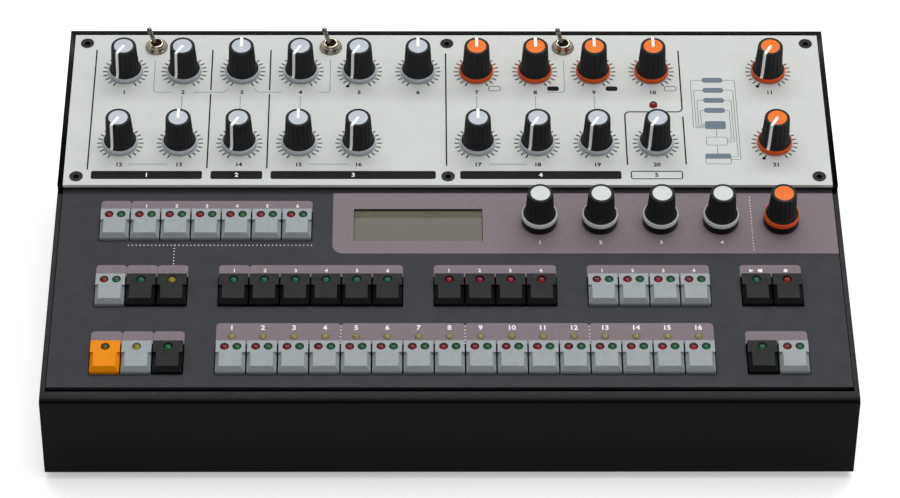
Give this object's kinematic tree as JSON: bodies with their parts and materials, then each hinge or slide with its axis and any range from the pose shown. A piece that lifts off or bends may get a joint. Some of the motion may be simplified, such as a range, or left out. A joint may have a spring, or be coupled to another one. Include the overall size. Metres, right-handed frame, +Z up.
{
  "type": "drum machine",
  "caption": "Desktop drum machine: sloped metal case with a white knob panel above a dark panel of lit keys, a display and encoders.",
  "frame": {"origin": "centre of the bounding box at the underside of the feet", "axes": "+X to the player's right, +Y away from the player, +Z up"},
  "size_m": [0.33, 0.2022, 0.0957],
  "materials": {
    "case_black": "satin powder coat",
    "foot_rubber": "matt",
    "panel_dark": "matt print on steel",
    "panel_white": "satin",
    "screw_black": "black oxide",
    "display_window": "clear over an olive display",
    "display_body": "matt",
    "circuit_board": "solder mask",
    "socket_plastic": "matt",
    "component_body": "matt",
    "bright_metal": "polished",
    "switch_housing": "matt",
    "lamp_lens": "tinted lens",
    "knob_rubber": "matt",
    "key_grey": "satin",
    "key_black": "satin",
    "key_orange": "satin"
  },
  "bodies": {
    "case": {"case_shell": "case_black", "feet": "foot_rubber", "lower_panel": "panel_dark", "upper_panel": "panel_white", "panel_screws": "screw_black", "lcd_window": "display_window", "lcd_module": "display_body", "lower_board": "circuit_board", "upper_board": "circuit_board", "rear_sockets": "socket_plastic", "pot_bodies": "component_body", "encoder_bodies": "component_body", "toggle_bodies": "bright_metal", "key_switches": "switch_housing", "leds": "lamp_lens"},
    "knob_wave": {"knob_wave": "knob_rubber"},
    "knob_pitch": {"knob_pitch": "knob_rubber"},
    "knob_int": {"knob_int": "knob_rubber"},
    "knob_cutoff": {"knob_cutoff": "knob_rubber"},
    "knob_resonance": {"knob_resonance": "knob_rubber"},
    "knob_type": {"knob_type": "knob_rubber"},
    "knob_click": {"knob_click": "knob_rubber"},
    "knob_noise": {"knob_noise": "knob_rubber"},
    "knob_vco": {"knob_vco": "knob_rubber"},
    "knob_aux": {"knob_aux": "knob_rubber"},
    "knob_master": {"knob_master": "knob_rubber"},
    "knob_time_a": {"knob_time_a": "knob_rubber"},
    "knob_bend_a": {"knob_bend_a": "knob_rubber"},
    "knob_frequency": {"knob_frequency": "knob_rubber"},
    "knob_bend_b": {"knob_bend_b": "knob_rubber"},
    "knob_time_b": {"knob_time_b": "knob_rubber"},
    "knob_style": {"knob_style": "knob_rubber"},
    "knob_decay_a": {"knob_decay_a": "knob_rubber"},
    "knob_decay_b": {"knob_decay_b": "knob_rubber"},
    "knob_decay_c": {"knob_decay_c": "knob_rubber"},
    "knob_phones": {"knob_phones": "knob_rubber"},
    "encoder_e": {"encoder_e": "knob_rubber"},
    "encoder_f": {"encoder_f": "knob_rubber"},
    "encoder_g": {"encoder_g": "knob_rubber"},
    "encoder_h": {"encoder_h": "knob_rubber"},
    "encoder_level": {"encoder_level": "knob_rubber"},
    "toggle_a": {"toggle_a": "bright_metal"},
    "toggle_b": {"toggle_b": "bright_metal"},
    "toggle_c": {"toggle_c": "bright_metal"},
    "voice_key": {"voice_key": "key_grey"},
    "track_keys": {"track_keys": "key_grey"},
    "audition_key": {"audition_key": "key_grey"},
    "mute_sample_keys": {"mute_sample_keys": "key_black"},
    "page_keys": {"page_keys": "key_black"},
    "edit_keys": {"edit_keys": "key_black"},
    "letter_keys": {"letter_keys": "key_grey"},
    "transport_keys": {"transport_keys": "key_black"},
    "shift_key": {"shift_key": "key_orange"},
    "utility_key": {"utility_key": "key_grey"},
    "alt_key": {"alt_key": "key_black"},
    "step_keys_1_4": {"step_keys_1_4": "key_grey"},
    "step_keys_5_8": {"step_keys_5_8": "key_grey"},
    "step_keys_9_12": {"step_keys_9_12": "key_grey"},
    "step_keys_13_16": {"step_keys_13_16": "key_grey"},
    "fill_lock_keys": {"fill_lock_keys": "key_grey"}
  },
  "joints": [
    {"name": "knob_wave_turn", "type": "hinge", "parent": "case", "child": "knob_wave", "pos_m": [-0.1397, 0.07657, 0.07899], "axis": [0, 0.1908, -0.9816], "range_deg": [0, 300]},
    {"name": "knob_pitch_turn", "type": "hinge", "parent": "case", "child": "knob_pitch", "pos_m": [-0.1143, 0.07657, 0.07899], "axis": [0, 0.1908, -0.9816], "range_deg": [0, 300]},
    {"name": "knob_int_turn", "type": "hinge", "parent": "case", "child": "knob_int", "pos_m": [-0.0889, 0.07657, 0.07899], "axis": [0, 0.1908, -0.9816], "range_deg": [-150, 150]},
    {"name": "knob_cutoff_turn", "type": "hinge", "parent": "case", "child": "knob_cutoff", "pos_m": [-0.0635, 0.07657, 0.07899], "axis": [0, 0.1908, -0.9816], "range_deg": [0, 300]},
    {"name": "knob_resonance_turn", "type": "hinge", "parent": "case", "child": "knob_resonance", "pos_m": [-0.0381, 0.07657, 0.07899], "axis": [0, 0.1908, -0.9816], "range_deg": [0, 300]},
    {"name": "knob_type_turn", "type": "hinge", "parent": "case", "child": "knob_type", "pos_m": [-0.0127, 0.07657, 0.07899], "axis": [0, 0.1908, -0.9816], "range_deg": [-150, 150]},
    {"name": "knob_click_turn", "type": "hinge", "parent": "case", "child": "knob_click", "pos_m": [0.0127, 0.07657, 0.07899], "axis": [0, 0.1908, -0.9816], "range_deg": [-150, 150]},
    {"name": "knob_noise_turn", "type": "hinge", "parent": "case", "child": "knob_noise", "pos_m": [0.0381, 0.07657, 0.07899], "axis": [0, 0.1908, -0.9816], "range_deg": [-150, 150]},
    {"name": "knob_vco_turn", "type": "hinge", "parent": "case", "child": "knob_vco", "pos_m": [0.0635, 0.07657, 0.07899], "axis": [0, 0.1908, -0.9816], "range_deg": [-150, 150]},
    {"name": "knob_aux_turn", "type": "hinge", "parent": "case", "child": "knob_aux", "pos_m": [0.0889, 0.07657, 0.07899], "axis": [0, 0.1908, -0.9816], "range_deg": [-150, 150]},
    {"name": "knob_master_turn", "type": "hinge", "parent": "case", "child": "knob_master", "pos_m": [0.1397, 0.07657, 0.07899], "axis": [0, 0.1908, -0.9816], "range_deg": [0, 300]},
    {"name": "knob_time_a_turn", "type": "hinge", "parent": "case", "child": "knob_time_a", "pos_m": [-0.1397, 0.03485, 0.07089], "axis": [0, 0.1908, -0.9816], "range_deg": [0, 300]},
    {"name": "knob_bend_a_turn", "type": "hinge", "parent": "case", "child": "knob_bend_a", "pos_m": [-0.1143, 0.03485, 0.07089], "axis": [0, 0.1908, -0.9816], "range_deg": [-150, 150]},
    {"name": "knob_frequency_turn", "type": "hinge", "parent": "case", "child": "knob_frequency", "pos_m": [-0.0889, 0.03485, 0.07089], "axis": [0, 0.1908, -0.9816], "range_deg": [0, 300]},
    {"name": "knob_bend_b_turn", "type": "hinge", "parent": "case", "child": "knob_bend_b", "pos_m": [-0.0635, 0.03485, 0.07089], "axis": [0, 0.1908, -0.9816], "range_deg": [-150, 150]},
    {"name": "knob_time_b_turn", "type": "hinge", "parent": "case", "child": "knob_time_b", "pos_m": [-0.0381, 0.03485, 0.07089], "axis": [0, 0.1908, -0.9816], "range_deg": [0, 300]},
    {"name": "knob_style_turn", "type": "hinge", "parent": "case", "child": "knob_style", "pos_m": [0.0127, 0.03485, 0.07089], "axis": [0, 0.1908, -0.9816], "range_deg": [-150, 150]},
    {"name": "knob_decay_a_turn", "type": "hinge", "parent": "case", "child": "knob_decay_a", "pos_m": [0.0381, 0.03485, 0.07089], "axis": [0, 0.1908, -0.9816], "range_deg": [0, 300]},
    {"name": "knob_decay_b_turn", "type": "hinge", "parent": "case", "child": "knob_decay_b", "pos_m": [0.0635, 0.03485, 0.07089], "axis": [0, 0.1908, -0.9816], "range_deg": [0, 300]},
    {"name": "knob_decay_c_turn", "type": "hinge", "parent": "case", "child": "knob_decay_c", "pos_m": [0.0889, 0.03485, 0.07089], "axis": [0, 0.1908, -0.9816], "range_deg": [0, 300]},
    {"name": "knob_phones_turn", "type": "hinge", "parent": "case", "child": "knob_phones", "pos_m": [0.1397, 0.03485, 0.07089], "axis": [0, 0.1908, -0.9816], "range_deg": [0, 300]},
    {"name": "encoder_e_turn", "type": "hinge", "parent": "case", "child": "encoder_e", "pos_m": [0.0381, -0.00599, 0.05989], "axis": [0, 0.1908, -0.9816], "continuous": true},
    {"name": "encoder_f_turn", "type": "hinge", "parent": "case", "child": "encoder_f", "pos_m": [0.0635, -0.00599, 0.05989], "axis": [0, 0.1908, -0.9816], "continuous": true},
    {"name": "encoder_g_turn", "type": "hinge", "parent": "case", "child": "encoder_g", "pos_m": [0.0889, -0.00599, 0.05989], "axis": [0, 0.1908, -0.9816], "continuous": true},
    {"name": "encoder_h_turn", "type": "hinge", "parent": "case", "child": "encoder_h", "pos_m": [0.1143, -0.00599, 0.05989], "axis": [0, 0.1908, -0.9816], "continuous": true},
    {"name": "encoder_level_turn", "type": "hinge", "parent": "case", "child": "encoder_level", "pos_m": [0.1397, -0.00599, 0.05989], "axis": [0, 0.1908, -0.9816], "continuous": true},
    {"name": "toggle_a_flip", "type": "hinge", "parent": "case", "child": "toggle_a", "pos_m": [-0.127, 0.09122, 0.08205], "axis": [0, 0.9816, 0.1908], "range_deg": [0, 28]},
    {"name": "toggle_b_flip", "type": "hinge", "parent": "case", "child": "toggle_b", "pos_m": [-0.0508, 0.09122, 0.08205], "axis": [0, 0.9816, 0.1908], "range_deg": [0, 28]},
    {"name": "toggle_c_flip", "type": "hinge", "parent": "case", "child": "toggle_c", "pos_m": [0.0508, 0.09122, 0.08205], "axis": [0, 0.9816, 0.1908], "range_deg": [0, 28]},
    {"name": "voice_key_press", "type": "slide", "parent": "case", "child": "voice_key", "axis": [0, 0.1908, -0.9816], "range_m": [0, 0.0008], "stiffness_N_per_m": 1200, "springref_m": -0.0005},
    {"name": "track_keys_press", "type": "slide", "parent": "case", "child": "track_keys", "axis": [0, 0.1908, -0.9816], "range_m": [0, 0.0008], "stiffness_N_per_m": 7200, "springref_m": -0.0005},
    {"name": "audition_key_press", "type": "slide", "parent": "case", "child": "audition_key", "axis": [0, 0.1908, -0.9816], "range_m": [0, 0.0008], "stiffness_N_per_m": 1200, "springref_m": -0.0005},
    {"name": "mute_sample_keys_press", "type": "slide", "parent": "case", "child": "mute_sample_keys", "axis": [0, 0.1908, -0.9816], "range_m": [0, 0.0008], "stiffness_N_per_m": 2400, "springref_m": -0.0005},
    {"name": "page_keys_press", "type": "slide", "parent": "case", "child": "page_keys", "axis": [0, 0.1908, -0.9816], "range_m": [0, 0.0008], "stiffness_N_per_m": 7200, "springref_m": -0.0005},
    {"name": "edit_keys_press", "type": "slide", "parent": "case", "child": "edit_keys", "axis": [0, 0.1908, -0.9816], "range_m": [0, 0.0008], "stiffness_N_per_m": 4800, "springref_m": -0.0005},
    {"name": "letter_keys_press", "type": "slide", "parent": "case", "child": "letter_keys", "axis": [0, 0.1908, -0.9816], "range_m": [0, 0.0008], "stiffness_N_per_m": 4800, "springref_m": -0.0005},
    {"name": "transport_keys_press", "type": "slide", "parent": "case", "child": "transport_keys", "axis": [0, 0.1908, -0.9816], "range_m": [0, 0.0008], "stiffness_N_per_m": 2400, "springref_m": -0.0005},
    {"name": "shift_key_press", "type": "slide", "parent": "case", "child": "shift_key", "axis": [0, 0.1908, -0.9816], "range_m": [0, 0.0008], "stiffness_N_per_m": 1200, "springref_m": -0.0005},
    {"name": "utility_key_press", "type": "slide", "parent": "case", "child": "utility_key", "axis": [0, 0.1908, -0.9816], "range_m": [0, 0.0008], "stiffness_N_per_m": 1200, "springref_m": -0.0005},
    {"name": "alt_key_press", "type": "slide", "parent": "case", "child": "alt_key", "axis": [0, 0.1908, -0.9816], "range_m": [0, 0.0008], "stiffness_N_per_m": 1200, "springref_m": -0.0005},
    {"name": "step_keys_1_4_press", "type": "slide", "parent": "case", "child": "step_keys_1_4", "axis": [0, 0.1908, -0.9816], "range_m": [0, 0.0008], "stiffness_N_per_m": 4800, "springref_m": -0.0005},
    {"name": "step_keys_5_8_press", "type": "slide", "parent": "case", "child": "step_keys_5_8", "axis": [0, 0.1908, -0.9816], "range_m": [0, 0.0008], "stiffness_N_per_m": 4800, "springref_m": -0.0005},
    {"name": "step_keys_9_12_press", "type": "slide", "parent": "case", "child": "step_keys_9_12", "axis": [0, 0.1908, -0.9816], "range_m": [0, 0.0008], "stiffness_N_per_m": 4800, "springref_m": -0.0005},
    {"name": "step_keys_13_16_press", "type": "slide", "parent": "case", "child": "step_keys_13_16", "axis": [0, 0.1908, -0.9816], "range_m": [0, 0.0008], "stiffness_N_per_m": 4800, "springref_m": -0.0005},
    {"name": "fill_lock_keys_press", "type": "slide", "parent": "case", "child": "fill_lock_keys", "axis": [0, 0.1908, -0.9816], "range_m": [0, 0.0008], "stiffness_N_per_m": 2400, "springref_m": -0.0005}
  ]
}
